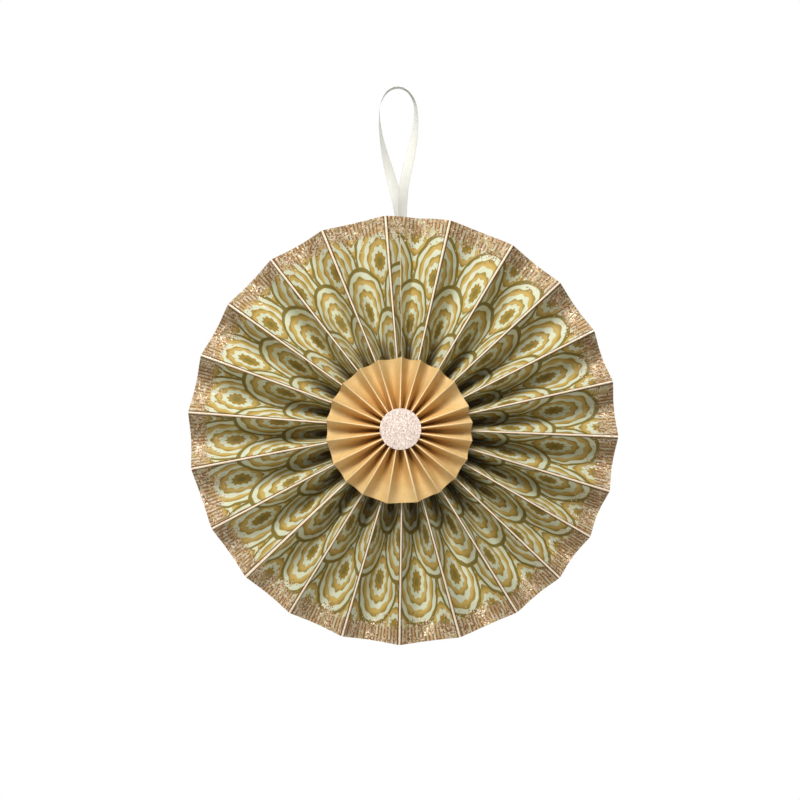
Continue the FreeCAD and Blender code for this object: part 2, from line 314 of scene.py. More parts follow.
def tip_point(fan, fold, side, radius):
    """On a fold's blunt tip: side goes from -1, before the fold, to 1, after it."""
    width = fan.fold_widths[fold % 2]
    depth = fan.fold_depth(fold, radius)
    if fold % 2 == 0:
        depth += RIDGE_ROUND * width * (1 - side**2)
    else:
        depth += fan.rise(fold, radius) - min(drop(fan, fold, radius), fan.rise(fold, radius))
    return radius * fan.bearing(fold) + side * width / 2, depth, float(fold % 2)


print("a ridge is rounded by", RIDGE_ROUND, "of its width")

# %% Points on a panel and on a wrapped ridge
def panel_slope(fan, fold, radius):
    """The straight slope from one fold's tip to the next."""
    a = tip_point(fan, fold, 1, radius)
    b = tip_point(fan, fold + 1, -1, radius)
    return (b[1] - a[1]) / (b[0] - a[0])


def bow(fan, fold, share, radius):
    """How far a panel stands out of its curve, more towards the rim and never the same twice."""
    way = math.sin(BOW_STEP * (fold % (2 * len(fan.pleats))) + BOW_START)
    free = soft_share(fan, fold, radius) / fan.soft[1]
    return fan.panel * BOW * way * free * (radius / fan.rim) ** 2 * math.sin(math.pi * share)


def panel_point(fan, fold, share, layers, radius):
    """On the panel after a fold, with layers counted from the panel's own paper forwards."""
    a = tip_point(fan, fold, 1, radius)
    b = tip_point(fan, fold + 1, -1, radius)
    rising = fold % 2 == 1
    valley, ridge = (a, b) if rising else (b, a)
    height, steep = climb(soft_share(fan, fold, radius), share if rising else 1 - share)
    along = a[0] + share * (b[0] - a[0])
    depth = valley[1] + (ridge[1] - valley[1]) * height
    slope = (ridge[1] - valley[1]) / (ridge[0] - valley[0]) * steep
    lift = (layers * (fan.paper + GLUE) + bow(fan, fold, share, radius)) / math.hypot(1, slope)
    return along - lift * slope, depth + lift, 1 - height


def wrapped_point(fan, ridge, side, radius):
    """On the tip of a ridge that goes on over the start of the next panel, one layer up."""
    along, depth, lean = tip_point(fan, ridge, side, radius)
    slope = panel_slope(fan, ridge, radius)
    lift = -(fan.paper + GLUE) * math.hypot(1, slope) / slope
    return along + lift * (side + 1) / 2, depth, lean


def in_space(fan, point, radius):
    along, depth, lean = point
    angle = along / radius
    reach = radius - lean * fan.valley_inset
    place = Vector((reach * math.cos(angle), -fan.back - depth, reach * math.sin(angle)))
    return place + fan.centre


print("a panel bows by up to", BOW, "of its width")

# %% [markdown]
# A strip is then a list of stations along its length. Each station knows its place on the flat
# paper, which the print follows, and where it goes at any distance from the hub.

# %% Stations along a strip
PANEL_SHARES = (0.03, 0.12, 0.24, 0.36, 0.48, 0.60, 0.72, 0.84, 0.95)
TIP_SIDES = (-1.0, 0.0, 1.0)


def tip_stations(fan, fold, point=tip_point):
    width = fan.fold_widths[fold % 2]
    return [
        (fold * fan.pitch + side * width / 2, lambda r, side=side: point(fan, fold, side, r))
        for side in TIP_SIDES
    ]


def panel_stations(fan, fold, shares=PANEL_SHARES, layers=0):
    start = fold * fan.pitch + fan.fold_widths[fold % 2] / 2
    return [
        (
            start + share * fan.panel,
            lambda r, share=share: panel_point(fan, fold, share, layers, r),
        )
        for share in shares
    ]


def folds_and_panels(fan, first, last):
    """Every tip and panel from one fold to the next given one, both tips included."""
    stations = []
    for fold in range(first, last):
        stations += tip_stations(fan, fold) + panel_stations(fan, fold)
    return stations + tip_stations(fan, last)


print("columns for each panel:", len(PANEL_SHARES) + 1)

# %% [markdown]
# The strip itself starts as a grid, the flat sheet before it is folded, with one column of
# faces between two stations. Its UV map is taken while it is flat, so the print lies on the
# paper as it came from the printer. Bending a sheet into 46 panels at once is more than the
# transform operators do by hand, so the vertices of the grid are moved to their folded places
# in code. Solidify then gives the sheet its thickness, a plain reverse and a raw cut edge.

# %% Tools for a flat grid
PAPER_SMOOTH_UNDER = math.radians(32)
STEPS_GROW = 1.4


def only(piece):
    """Selects one piece and nothing else."""
    bpy.ops.object.select_all(action="DESELECT")
    piece.select_set(True)
    bpy.context.view_layer.objects.active = piece


def flat_grid(name, columns, rows):
    """A grid of faces one unit across, and for each vertex its column and row."""
    bpy.ops.object.select_all(action="DESELECT")
    bpy.ops.mesh.primitive_grid_add(
        x_subdivisions=columns, y_subdivisions=rows, size=1, calc_uvs=True
    )
    piece = bpy.context.object
    piece.name = name
    piece.data.name = name
    piece.data.uv_layers[0].name = "flat"
    places = [
        (round((v.co.x + 0.5) * columns), round((v.co.y + 0.5) * rows))
        for v in piece.data.vertices
    ]
    return piece, places


def keep_flat_places(mesh, flat):
    """The UV map keeps each vertex's place on the flat sheet, in metres."""
    for loop, spot in zip(mesh.loops, mesh.uv_layers["flat"].data):
        spot.uv = flat[loop.vertex_index]


def give_thickness(piece, paper, materials):
    """Front, reverse and cut edge each get their own material."""
    for material in materials:
        piece.data.materials.append(material)
    only(piece)
    thick = piece.modifiers.new("paper", "SOLIDIFY")
    thick.thickness = paper
    thick.offset = 0.0
    thick.use_even_offset = True
    thick.material_offset = 1
    thick.material_offset_rim = 2
    bpy.ops.object.modifier_apply(modifier=thick.name)
    bpy.ops.object.shade_smooth_by_angle(angle=PAPER_SMOOTH_UNDER)


def fold_strip(name, fan, stations, radii, materials):
    piece, places = flat_grid(name, len(stations) - 1, len(radii) - 1)
    mesh = piece.data
    keep_flat_places(mesh, [(stations[column][0], radii[row]) for column, row in places])
    for vertex, (column, row) in zip(mesh.vertices, places):
        radius = radii[row]
        vertex.co = in_space(fan, stations[column][1](radius), radius)
    only(piece)
    bpy.ops.object.mode_set(mode="EDIT")
    bpy.ops.mesh.select_all(action="SELECT")
    bpy.ops.mesh.flip_normals()
    bpy.ops.object.mode_set(mode="OBJECT")
    give_thickness(piece, fan.paper, materials)
    print(f"{name}: {len(mesh.polygons)} faces, {flat_length(stations) / MM:.0f} mm of paper")
    return piece


def flat_length(stations):
    return stations[-1][0] - stations[0][0]


def radii_of(fan, glued_steps, free_steps):
    """From the hub to the rim, with closer steps where the folds leave the glue."""
    glued = [fan.hub + (fan.glued - fan.hub) * k / glued_steps for k in range(glued_steps)]
    out = [(k / free_steps) ** STEPS_GROW for k in range(free_steps + 1)]
    return glued + [fan.glued + (fan.rim - fan.glued) * share for share in out]


print("the sheet tools are ready")

# %% [markdown]
# ## Sizes of the two fans
#
# The pleats are given as they open at the rim, in degrees, one after another from the seam.
# The large ring is two strips: a short one of eight pleats, from the top round the left side,
# and a long one of fifteen. The small fan is one strip of kraft paper.

# %% Sizes of the two fans
SHORT_PLEATS = [17.5, 15.8, 16.5, 15.5, 15.7, 15.1, 16.9, 15.5]
LONG_PLEATS = [
    15.2, 15.3, 15.4, 16.2, 16.6, 14.5, 13.6, 13.1, 14.7, 14.8, 14.5, 15.8, 16.2, 18.1, 17.5,
]
KRAFT_PLEATS = [
    19.3, 16.9, 16.9, 15.0, 14.4, 13.1, 21.9, 15.6, 16.2, 15.0, 18.8,
    15.6, 17.5, 15.6, 16.3, 16.2, 18.8, 16.9, 16.2, 20.6, 23.6,
]
BACK_DISC = 0.8 * MM
FRONT_DISC = 0.6 * MM
HUB_GLUED = 26.0 * MM
SMALL_CENTRE = Vector((-2.2, 0.0, -1.6)) * MM
GLITTER_CENTRE = Vector((-1.4, 0.0, -0.8)) * MM
GLITTER_RADIUS = 12.85 * MM

large = Fan(
    pleats=SHORT_PLEATS + LONG_PLEATS,
    seam=94.7,
    centre=Vector(),
    back=BACK_DISC,
    rim=(135.0 * MM, 0.4 * MM),
    hub=8.0 * MM,
    glued=HUB_GLUED,
    folds=(0.5 * MM, 1.2 * MM),
    rim_depth=7.0 * MM,
    paper=0.25 * MM,
    soft=(0.05, 0.60),
    stiff_seam=True,
)
small = Fan(
    pleats=KRAFT_PLEATS,
    seam=283.8,
    centre=SMALL_CENTRE,
    back=BACK_DISC + large.depth + FRONT_DISC,
    rim=(45.6 * MM, 0.8 * MM),
    hub=5.0 * MM,
    glued=GLITTER_RADIUS + (SMALL_CENTRE - GLITTER_CENTRE).length + 1.0 * MM,
    folds=(0.4 * MM, 0.45 * MM),
    rim_depth=3.6 * MM,
    paper=0.2 * MM,
    soft=(0.05, 0.70),
    stiff_seam=False,
)
for name, fan in (("large", large), ("small", small)):
    print(f"{name} fan: panels {fan.panel / MM:.2f} mm wide, {fan.depth / MM:.2f} mm deep")

# %% [markdown]
# ## Tools for the finishes
#
# The finishes are worked out by nodes from the flat place of each point, so no picture is
# needed. A few small tools keep the node trees readable: some do sums, some blend two colours
# or two numbers, and one reads the flat place in millimetres.

# %% Tools for the finishes
def feed(tree, socket, value):
    if isinstance(value, bpy.types.NodeSocket):
        tree.links.new(value, socket)
    else:
        socket.default_value = value


def sum_of(tree, operation, *terms, kind="ShaderNodeMath"):
    made = tree.nodes.new(kind)
    made.operation = operation
    for socket, term in zip(made.inputs, terms):
        feed(tree, socket, term)
    return made.outputs[0]


def vector_sum(tree, operation, *terms):
    return sum_of(tree, operation, *terms, kind="ShaderNodeVectorMath")


def times(tree, a, b):
    return sum_of(tree, "MULTIPLY", a, b)


def plus(tree, a, b):
    return sum_of(tree, "ADD", a, b)


def minus(tree, a, b):
    return sum_of(tree, "SUBTRACT", a, b)


def over(tree, a, b):
    return sum_of(tree, "DIVIDE", a, b)


def size_of(tree, value):
    return sum_of(tree, "ABSOLUTE", value)


def fraction(tree, value):
    return sum_of(tree, "FRACT", value)


def blend(tree, share, first, second):
    """The first colour where share is 0 and the second where it is 1."""
    made = tree.nodes.new("ShaderNodeMix")
    made.data_type = "RGBA"
    feed(tree, made.inputs[0], share)
    feed(tree, made.inputs[6], first)
    feed(tree, made.inputs[7], second)
    return made.outputs[2]


def pick(tree, share, first, second):
    """The first number where share is 0 and the second where it is 1."""
    made = tree.nodes.new("ShaderNodeMix")
    made.data_type = "FLOAT"
    feed(tree, made.inputs[0], share)
    feed(tree, made.inputs[2], first)
    feed(tree, made.inputs[3], second)
    return made.outputs[0]


def ramp(tree, value, start, end):
    """0 before start, 1 after end and a soft slope between. End may be below start."""
    made = tree.nodes.new("ShaderNodeMapRange")
    made.interpolation_type = "SMOOTHSTEP"
    feed(tree, made.inputs["Value"], value)
    feed(tree, made.inputs["From Min"], start)
    feed(tree, made.inputs["From Max"], end)
    return made.outputs["Result"]


def inside(tree, value, half, soft):
    """1 where value is below half, and 0 above it, with a soft edge."""
    return ramp(tree, value, half + soft, half - soft)


def colour(red, green, blue):
    """A colour as read on a screen, from 0 to 255, as the light values that nodes want."""
    def light(value):
        value = value / 255
        return value / 12.92 if value <= 0.04045 else ((value + 0.055) / 1.055) ** 2.4
    return light(red), light(green), light(blue), 1.0


def start_material(name):
    material = bpy.data.materials.new(name)
    material.use_nodes = True
    tree = material.node_tree
    return material, tree, tree.nodes["Principled BSDF"]


def stretched(tree, place, scale):
    made = tree.nodes.new("ShaderNodeMapping")
    made.inputs["Scale"].default_value = scale
    tree.links.new(place, made.inputs["Vector"])
    return made.outputs["Vector"]


def flat_place(tree):
    """The place on the flat sheet in millimetres: as one vector, along it and across it."""
    uv = tree.nodes.new("ShaderNodeUVMap")
    uv.uv_map = "flat"
    place = stretched(tree, uv.outputs["UV"], (1 / MM, 1 / MM, 1))
    parts = tree.nodes.new("ShaderNodeSeparateXYZ")
    tree.links.new(place, parts.inputs["Vector"])
    return place, parts.outputs["X"], parts.outputs["Y"]


def object_place(tree):
    """The place in space in millimetres."""
    coordinates = tree.nodes.new("ShaderNodeTexCoord")
    return stretched(tree, coordinates.outputs["Object"], (1 / MM, 1 / MM, 1 / MM))


def noise(tree, place, grain, detail=2.0, roughness=0.5):
    """A cloudy number around a half, whose clouds are grain millimetres across."""
    made = tree.nodes.new("ShaderNodeTexNoise")
    feed(tree, made.inputs["Vector"], place)
    made.inputs["Scale"].default_value = 1 / grain
    made.inputs["Detail"].default_value = detail
    made.inputs["Roughness"].default_value = roughness
    return made.outputs["Fac"]


def wander(tree, place, grain, most):
    """A cloudy number around 0, at the most half of most above or below it."""
    return times(tree, minus(tree, noise(tree, place, grain), 0.5), most)


def coat(tree, surface, face, roughness, specular):
    """Gives the surface its colour and how it shines."""
    tree.links.new(face, surface.inputs["Base Color"])
    surface.inputs["Roughness"].default_value = roughness
    surface.inputs["Specular IOR Level"].default_value = specular


def relief(tree, surface, height, deep, normal=None):
    """Raises the surface by height, times a depth in metres."""
    made = tree.nodes.new("ShaderNodeBump")
    made.inputs["Distance"].default_value = deep
    feed(tree, made.inputs["Height"], height)
    if normal is not None:
        tree.links.new(normal, made.inputs["Normal"])
    tree.links.new(made.outputs["Normal"], surface.inputs["Normal"])


print("the finish tools are ready")

# %% [markdown]
# ## Glitter
#
# Glitter is flakes of foil glued down at all angles. Each cell of a Voronoi pattern is a flake:
# its colour is random and serves twice, as a tint and as a small tilt of the surface, so that
# some flakes flash and others stay dull.

# %% Glitter flakes
def flakes(tree, place, across):
    """Random colours in cells of that many millimetres."""
    cells = tree.nodes.new("ShaderNodeTexVoronoi")
    cells.inputs["Scale"].default_value = 1 / across
    feed(tree, cells.inputs["Vector"], place)
    return cells.outputs["Color"]


def split(tree, colour_socket):
    parts = tree.nodes.new("ShaderNodeSeparateColor")
    tree.links.new(colour_socket, parts.inputs["Color"])
    return parts.outputs["Red"], parts.outputs["Green"], parts.outputs["Blue"]


def tilted(tree, cell_colour, most, where=None):
    """The surface's own normal, tilted at random from flake to flake."""
    geometry = tree.nodes.new("ShaderNodeNewGeometry")
    middle = vector_sum(tree, "SUBTRACT", cell_colour, (0.5, 0.5, 0.5))
    scaled = vector_sum(tree, "SCALE", middle)
    scaled_by = most if where is None else times(tree, where, most)
    feed(tree, scaled.node.inputs["Scale"], scaled_by)
    return vector_sum(tree, "NORMALIZE", vector_sum(tree, "ADD", geometry.outputs["Normal"], scaled))


print("the glitter tools are ready")

# %% [markdown]
# ## The printed paper
#
# The print is a scallop pattern. Rows of scallops overlap like fish scales, each row half a
# scallop out of step with the one before, and each scallop is filled with wavy rings round its
# middle. A point lies in the scallop of its own row if it is inside that circle, and otherwise
# in the one that peeks out from behind.

# %% Scallops
SCALLOP = 40.0
SCALLOP_ROW = 29.0
RING_PITCH = 5.7
RING_HALF = 0.28
RING_WAVE = 0.08
RING_SOFT = 0.04
WAVES = 10


def scallop_place(tree, along, across):
    """The place from the scallop's centre, the distance in from its edge, and 1 in its own row."""
    radius = SCALLOP / 2
    row_at = over(tree, across, SCALLOP_ROW)
    row = sum_of(tree, "FLOOR", row_at)
    up = times(tree, minus(tree, row_at, row), radius)
    odd = times(tree, sum_of(tree, "PINGPONG", row, 1.0), 0.5)
    column = plus(tree, over(tree, along, SCALLOP), odd)
    side = [
        times(tree, minus(tree, fraction(tree, plus(tree, column, step)), 0.5), SCALLOP)
        for step in (0.0, 0.5)
    ]
    down = minus(tree, up, radius)
    reach = distance(tree, side[0], up)
    behind_reach = distance(tree, side[1], down)
    own = sum_of(tree, "LESS_THAN", reach, radius)
    own_margin = minus(tree, radius, reach)
    past_own = minus(tree, reach, radius)
    behind_margin = sum_of(tree, "MINIMUM", past_own, minus(tree, radius, behind_reach))
    return (
        pick(tree, own, side[1], side[0]),
        pick(tree, own, down, up),
        pick(tree, own, behind_margin, own_margin),
        own,
    )


def distance(tree, a, b):
    squares = [sum_of(tree, "POWER", size_of(tree, term), 2.0) for term in (a, b)]
    return sum_of(tree, "SQRT", plus(tree, *squares))


def rings(tree, side, up):
    """1 on a scallop's rings, the place across a ring, and the distance from the middle."""
    reach = distance(tree, side, up)
    wave = sum_of(tree, "COSINE", times(tree, sum_of(tree, "ARCTAN2", side, up), WAVES))
    across = minus(tree, fraction(tree, over(tree, reach, RING_PITCH)), 0.5)
    half = plus(tree, times(tree, wave, RING_WAVE), RING_HALF)
    edge = minus(tree, half, size_of(tree, across))
    return ramp(tree, edge, -RING_SOFT, RING_SOFT), across, reach


print("scallops:", SCALLOP, "by", SCALLOP_ROW, "mm")

# %% [markdown]
# Along the rim the print ends in short brown stripes, which come in groups. Rose gold glitter is
# strewn there in patches, mostly between the groups, thick at the edge and thinning out over two
# centimetres. On every ridge the coating has cracked along the crease. The pale paper shows
# there as a thin line, with a thin painted shadow on each side of it, darker on one side. In the
# valleys, close to the small fan, the paper is darkened with painted shade.

# %% Colours of the print
MINT = colour(209, 211, 186)
MINT_SHADE = colour(188, 194, 164)
OCHRE = colour(184, 156, 86)
OCHRE_DEEP = colour(146, 120, 48)
OLIVE = colour(120, 104, 44)
# Painted shade for the valleys close to the small fan.
VALLEY_PAINTED_SHADE = colour(64, 44, 6)
FRINGE_GROUND = colour(176, 159, 121)
STRIPE_BROWN = colour(134, 88, 58)
FLAKE_BROWN = colour(112, 76, 46)
FLAKE_ROSE = colour(186, 151, 118)
FLAKE_PALE = colour(230, 210, 180)
CREASE = colour(248, 226, 198)
# Painted shadow beside each ridge's pale crease line.
CREASE_SHADOW = colour(84, 60, 28)
print("colours of the print are mixed")

# %% [markdown]
# Sizes are millimetres on the flat paper. What lies inside one ring or one stripe is a share of
# its pitch, and every strength is a share from 0 to 1. Most pairs in brackets are where a slope
# starts and where it ends.

# %% Sizes and strengths of the print
RIM_AT = large.rim / MM
PLEAT_AT = 2 * large.pitch / MM
HAND_WANDER = 6.0
HAND_GRAINS = (17.0, 23.0)
SHADE_GRAIN = 9.0
INK_SLOPE = (-0.10, 0.26)
DARK_MIDDLE = (9.0, 3.0)
OUTLINE, OUTLINE_SOFT = 1.8, 0.3
SPOT, SPOT_SOFT = 2.0, 0.6
STRIPE_PITCH = 2.7
STRIPE_HALF, STRIPE_SOFT = 0.22, 0.05
STRIPE_STRENGTH = 0.95
FRINGE_WIDTH, FRINGE_SOFT = 14.25, 1.25
FRINGE_WANDER, FRINGE_GRAIN = 8.0, 5.0
FRINGE_STRENGTH = 0.55
GROUP_GRAIN = 11.0
GROUP_SLOPE = (0.44, 0.50)
FIBRE_GRAIN = 0.35
FLAKE = 0.8
FLAKE_STRENGTH = 0.9
FLAKE_TILT = 0.55
STREWN = (21.0, 3.0)
PATCH_GRAIN = 6.0
PATCH_SLOPE = (0.36, 0.56)
FEWEST, MOST = 0.20, 0.95
AMONG_STRIPES = 0.35
RAGGED, RAGGED_GRAIN = 0.6, 0.9
CREASE_HALF, CREASE_SOFT = 0.605, 0.125
CREASE_STRENGTH = 0.92
SHADOW_HALF, SHADOW_SOFT = 1.65, 0.35
SHADOW_BEFORE, SHADOW_AFTER = 0.95, 0.65
VALLEY_SHADE_SLOPE = (10.0, 1.0)
VALLEY_SHADE_REACH = (72.0, 46.0)
VALLEY_SHADE_STRENGTH = 0.9
print("the print's pleats repeat every", round(PLEAT_AT, 1), "mm")


# %% Printed paper
def off_the_ridge(tree, along, pleat):
    """Signed distance from the nearest ridge fold, in millimetres."""
    turn = fraction(tree, plus(tree, over(tree, along, pleat), 0.5))
    return times(tree, minus(tree, turn, 0.5), pleat)


def pattern(tree, along, across, place):
    """Scallops with their rings and outlines, drawn by a slightly unsteady hand."""
    moved = [
        plus(tree, value, wander(tree, place, grain, HAND_WANDER))
        for value, grain in zip((along, across), HAND_GRAINS)
    ]
    side, up, margin, own = scallop_place(tree, *moved)
    ring, ring_across, reach = rings(tree, side, up)
    face = blend(tree, noise(tree, place, SHADE_GRAIN), MINT, MINT_SHADE)
    ink = blend(tree, ramp(tree, ring_across, *INK_SLOPE), OCHRE, OCHRE_DEEP)
    ink = blend(tree, ramp(tree, reach, *DARK_MIDDLE), ink, OCHRE_DEEP)
    face = blend(tree, ring, face, ink)
    line = times(tree, inside(tree, margin, OUTLINE, OUTLINE_SOFT), own)
    line = sum_of(tree, "MAXIMUM", line, inside(tree, reach, SPOT, SPOT_SOFT))
    return blend(tree, line, face, OLIVE)


def fringe(tree, face, place, along, inward, groups):
    """Short stripes across the rim, in groups."""
    turn = fraction(tree, over(tree, along, STRIPE_PITCH))
    stripe = inside(tree, size_of(tree, minus(tree, turn, 0.5)), STRIPE_HALF, STRIPE_SOFT)
    waved = plus(tree, inward, times(tree, noise(tree, place, FRINGE_GRAIN), FRINGE_WANDER))
    band = inside(tree, waved, FRINGE_WIDTH, FRINGE_SOFT)
    face = blend(tree, times(tree, band, FRINGE_STRENGTH), face, FRINGE_GROUND)
    band = times(tree, times(tree, band, groups), STRIPE_STRENGTH)
    return blend(tree, times(tree, band, stripe), face, STRIPE_BROWN)


def glitter(tree, face, place, inward, groups):
    """Flakes strewn between the stripes: the new colour, where the flakes are and their colours."""
    cells = flakes(tree, place, FLAKE)
    red, green, _ = split(tree, cells)
    near = ramp(tree, inward, *STREWN)
    patches = ramp(tree, noise(tree, place, PATCH_GRAIN, 3.0), *PATCH_SLOPE)
    patches = times(tree, pick(tree, patches, FEWEST, MOST), pick(tree, groups, 1.0, AMONG_STRIPES))
    strewn = sum_of(tree, "LESS_THAN", red, times(tree, near, patches))
    flake = blend(tree, ramp(tree, green, 0.25, 0.5), FLAKE_BROWN, FLAKE_ROSE)
    flake = blend(tree, ramp(tree, green, 0.6, 0.85), flake, FLAKE_PALE)
    return blend(tree, times(tree, strewn, FLAKE_STRENGTH), face, flake), strewn, cells


def folded_lines(tree, face, place, along, across):
    """Cracked ridges edged with painted shadow, and painted shade in valleys near the small fan."""
    off = off_the_ridge(tree, along, PLEAT_AT)
    ragged = wander(tree, place, RAGGED_GRAIN, RAGGED)
    away = plus(tree, size_of(tree, off), ragged)
    # Painted shade in the valleys, strongest close to the small fan.
    valley = ramp(tree, away, *[PLEAT_AT / 2 - short for short in VALLEY_SHADE_SLOPE])
    valley = times(tree, valley, ramp(tree, across, *VALLEY_SHADE_REACH))
    face = blend(tree, times(tree, valley, VALLEY_SHADE_STRENGTH), face, VALLEY_PAINTED_SHADE)
    # Painted shadow along both sides of each crease, stronger on one side.
    edge = inside(tree, away, SHADOW_HALF, SHADOW_SOFT)
    stronger = pick(tree, sum_of(tree, "GREATER_THAN", off, 0.0), SHADOW_BEFORE, SHADOW_AFTER)
    face = blend(tree, times(tree, edge, stronger), face, CREASE_SHADOW)
    crease = inside(tree, away, CREASE_HALF, CREASE_SOFT)
    return blend(tree, times(tree, crease, CREASE_STRENGTH), face, CREASE)


def printed_paper(name, shift):
    material, tree, surface = start_material(name)
    place, along, across = flat_place(tree)
    inward = minus(tree, RIM_AT, across)
    print_along = plus(tree, along, shift[0])
    print_across = plus(tree, across, shift[1])
    face = pattern(tree, print_along, print_across, place)
    groups = ramp(tree, noise(tree, place, GROUP_GRAIN), *GROUP_SLOPE)
    face = fringe(tree, face, place, along, inward, groups)
    face, strewn, cells = glitter(tree, face, place, inward, groups)
    face = folded_lines(tree, face, place, along, across)
    tree.links.new(face, surface.inputs["Base Color"])
    tree.links.new(times(tree, strewn, 0.25), surface.inputs["Metallic"])
    tree.links.new(pick(tree, strewn, 0.62, 0.42), surface.inputs["Roughness"])
    surface.inputs["Specular IOR Level"].default_value = 0.3
    fibres = noise(tree, place, FIBRE_GRAIN, 3.0, 0.7)
    relief(tree, surface, fibres, 0.02 * MM, tilted(tree, cells, FLAKE_TILT, strewn))
    return material


print("printed paper: rim at", round(RIM_AT, 1), "mm")

# %% [markdown]
# The reverse of the sheet isn't printed. It is plain off-white, a little mottled where the print
# shows through, and the cut edge is the same bare paper.

# %% Reverse and cut edge
def bare_paper(name, light, dark, grain):
    material, tree, surface = start_material(name)
    place, _, _ = flat_place(tree)
    cloud = noise(tree, place, grain, 4.0, 0.65)
    coat(tree, surface, blend(tree, cloud, light, dark), roughness=0.85, specular=0.2)
    relief(tree, surface, noise(tree, place, 0.3, 3.0, 0.7), 0.03 * MM)
    return material


print("bare paper is ready")

# %% The two printed strips
paper_reverse = bare_paper("paper_reverse", colour(238, 234, 222), colour(222, 217, 203), grain=6.0)
paper_edge = bare_paper("paper_edge", colour(244, 232, 214), colour(226, 208, 186), grain=1.2)
LAST_SHORT_RIDGE = 2 * len(SHORT_PLEATS)
ALL_FOLDS = 2 * len(large.pleats)
LARGE_FLAP = 0.10
FLAP_MIDDLE = 0.6
SEAM_START = 0.03
END_CUT = 0.55
TUCKED, COMING_UP = -1, -0.4

large_radii = radii_of(large, glued_steps=3, free_steps=40)

short_stations = (
    panel_stations(large, -1, PANEL_SHARES[1:-1], layers=TUCKED)
    + panel_stations(large, -1, PANEL_SHARES[-1:], layers=COMING_UP)
    + folds_and_panels(large, 0, LAST_SHORT_RIDGE - 1)
    + panel_stations(large, LAST_SHORT_RIDGE - 1)
    + tip_stations(large, LAST_SHORT_RIDGE, point=wrapped_point)
    + panel_stations(large, LAST_SHORT_RIDGE, (FLAP_MIDDLE * LARGE_FLAP, LARGE_FLAP), layers=1)
)
long_stations = (
    panel_stations(large, LAST_SHORT_RIDGE, (SEAM_START,) + PANEL_SHARES[1:])
    + folds_and_panels(large, LAST_SHORT_RIDGE + 1, ALL_FOLDS - 1)
    + panel_stations(large, ALL_FOLDS - 1, PANEL_SHARES[:5] + (END_CUT,))
)
print("stations:", len(short_stations), "and", len(long_stations))

# %% Fold the printed strips
for node, stations, shift in (
    ("short_printed_strip", short_stations, (12.0, 9.0)),
    ("long_printed_strip", long_stations, (29.0, 19.0)),
):
    finishes = (printed_paper(f"{node}_print", shift), paper_reverse, paper_edge)
    strip = fold_strip(f"{node}_folded", large, stations, large_radii, finishes)
    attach(strip, "root")
    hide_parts(node)

# %% [markdown]
# ## The kraft fan
#
# Kraft paper is dyed right through. Its ridges turn paler along a thin line, partly where the
# fibres are stretched and partly as a painted highlight, which fades out towards the rim. Near
# the hub its valleys are darkened with painted shade, and the whole paper gets painted shade,
# deeper in tone towards the hub. It has fine fibres of two tones along the sheet and is a little
# smoother than the printed paper.

# %% Kraft paper
KRAFT = colour(218, 186, 130)
KRAFT_DARK = colour(202, 166, 104)
KRAFT_PALE = colour(250, 222, 174)
# Painted shade: deeper and more saturated towards the hub.
KRAFT_HUB_SHADE = colour(214, 164, 86)
# Painted shade for the kraft valleys near the hub.
KRAFT_VALLEY_SHADE = colour(130, 86, 26)
KRAFT_CREASE_HALF, KRAFT_CREASE_SOFT = 0.435, 0.225
KRAFT_FIBRE = 0.55
KRAFT_FIBRE_STRETCH = 0.22
KRAFT_CLOUD = 8.0
KRAFT_HUB_SHADE_FROM = 0.9
KRAFT_RIDGE_FADE = (1.1, 0.4)
KRAFT_VALLEY_SHADE_FROM = 0.75
KRAFT_VALLEY_SHADE_SLOPE = (0.32, 0.5)


def kraft_paper():
    """Its tones change at shares of the rim's distance, and of a pleat's width."""
    material, tree, surface = start_material("kraft_paper_finish")
    place, along, across = flat_place(tree)
    rim, glued, pleat = (length / MM for length in (small.rim, small.glued, 2 * small.pitch))
    drawn_out = stretched(tree, place, (1.0, KRAFT_FIBRE_STRETCH, 1.0))
    fibre = noise(tree, drawn_out, KRAFT_FIBRE, 5.0, 0.75)
    cloud = noise(tree, place, KRAFT_CLOUD)
    tone = plus(tree, times(tree, fibre, 0.7), times(tree, cloud, 0.4))
    face = blend(tree, ramp(tree, tone, 0.35, 0.75), KRAFT, KRAFT_DARK)
    # Painted shade: the paper turns deeper in tone towards the hub.
    hub_shade = ramp(tree, across, KRAFT_HUB_SHADE_FROM * rim, glued)
    face = blend(tree, times(tree, hub_shade, 0.8), face, KRAFT_HUB_SHADE)
    off = size_of(tree, off_the_ridge(tree, along, pleat))
    # A pale line on each ridge, partly stretched fibres and partly a painted highlight, fading
    # towards the rim.
    crease = inside(tree, off, KRAFT_CREASE_HALF, KRAFT_CREASE_SOFT)
    ridge_fade = ramp(tree, across, *[share * rim for share in KRAFT_RIDGE_FADE])
    face = blend(tree, times(tree, crease, ridge_fade), face, KRAFT_PALE)
    # Painted shade in the valleys, near the hub.
    valley_shade = ramp(tree, off, *[share * pleat for share in KRAFT_VALLEY_SHADE_SLOPE])
    valley_shade = times(tree, valley_shade, ramp(tree, across, KRAFT_VALLEY_SHADE_FROM * rim, glued))
    face = blend(tree, times(tree, valley_shade, 0.75), face, KRAFT_VALLEY_SHADE)
    coat(tree, surface, face, roughness=0.6, specular=0.3)
    relief(tree, surface, fibre, 0.03 * MM)
    return material


kraft_finish = kraft_paper()
kraft_edge = bare_paper("kraft_edge", colour(236, 204, 156), colour(214, 176, 124), grain=0.8)
print("kraft paper is ready")

